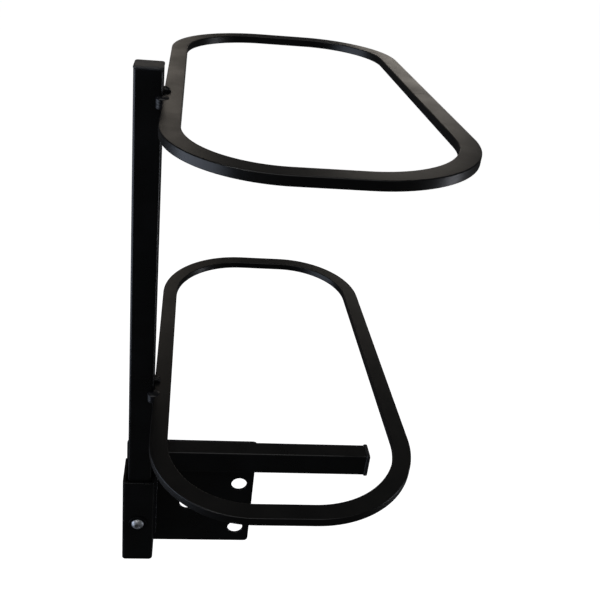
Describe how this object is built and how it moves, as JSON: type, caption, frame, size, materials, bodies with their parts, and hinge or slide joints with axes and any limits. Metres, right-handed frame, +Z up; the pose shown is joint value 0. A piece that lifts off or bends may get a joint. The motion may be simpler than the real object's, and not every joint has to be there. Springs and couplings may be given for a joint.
{
  "type": "bicycle wall rack",
  "caption": "Rack of flat-bar hoops welded to a square post that a cross screw fixes in a bent socket on a drilled plate with a side crossbar.",
  "frame": {"origin": "middle of the plate's back face", "axes": "+X along the crossbar towards its plugged end, +Y back through the plate, +Z up along the post"},
  "size_m": [0.2804, 0.47, 0.579],
  "materials": {
    "black_frame": "satin black powder coat",
    "black_hoop": "satin black powder coat",
    "plug_plastic": "moulded, fine matt texture",
    "zinc_steel": "bright zinc plate",
    "black_washer": "black oxide"
  },
  "bodies": {
    "rack": {"wall_plate": "black_frame", "post_socket": "black_frame", "crossbar": "black_frame", "crossbar_plug": "plug_plastic", "post": "black_frame", "post_cap": "plug_plastic", "post_foot_plug": "plug_plastic", "upper_hoop": "black_hoop", "lower_hoop": "black_hoop", "upper_hoop_front_weld": "black_frame", "upper_hoop_rear_weld": "black_frame", "lower_hoop_front_weld": "black_frame", "lower_hoop_rear_weld": "black_frame", "socket_left_weld": "black_frame", "socket_right_weld": "black_frame", "crossbar_lower_weld": "black_frame", "crossbar_upper_weld": "black_frame", "nut_washer": "zinc_steel", "screw_nut": "zinc_steel"},
    "washer_carrier": {"screw_washer": "black_washer"},
    "screw": {"socket_screw": "zinc_steel"}
  },
  "joints": [
    {"name": "screw_travel", "type": "slide", "parent": "rack", "child": "washer_carrier", "axis": [0, -1, 0], "range_m": [0, 0.008]},
    {"name": "screw_turn", "type": "hinge", "parent": "washer_carrier", "child": "screw", "pos_m": [-0.0572, -0.0436, -0.008], "axis": [0, -1, 0], "range_deg": [0, 2300]}
  ],
  "couplings": [
    {"joint": "screw_travel", "follows": "screw_turn", "m_per_rad": 0.00019894}
  ]
}
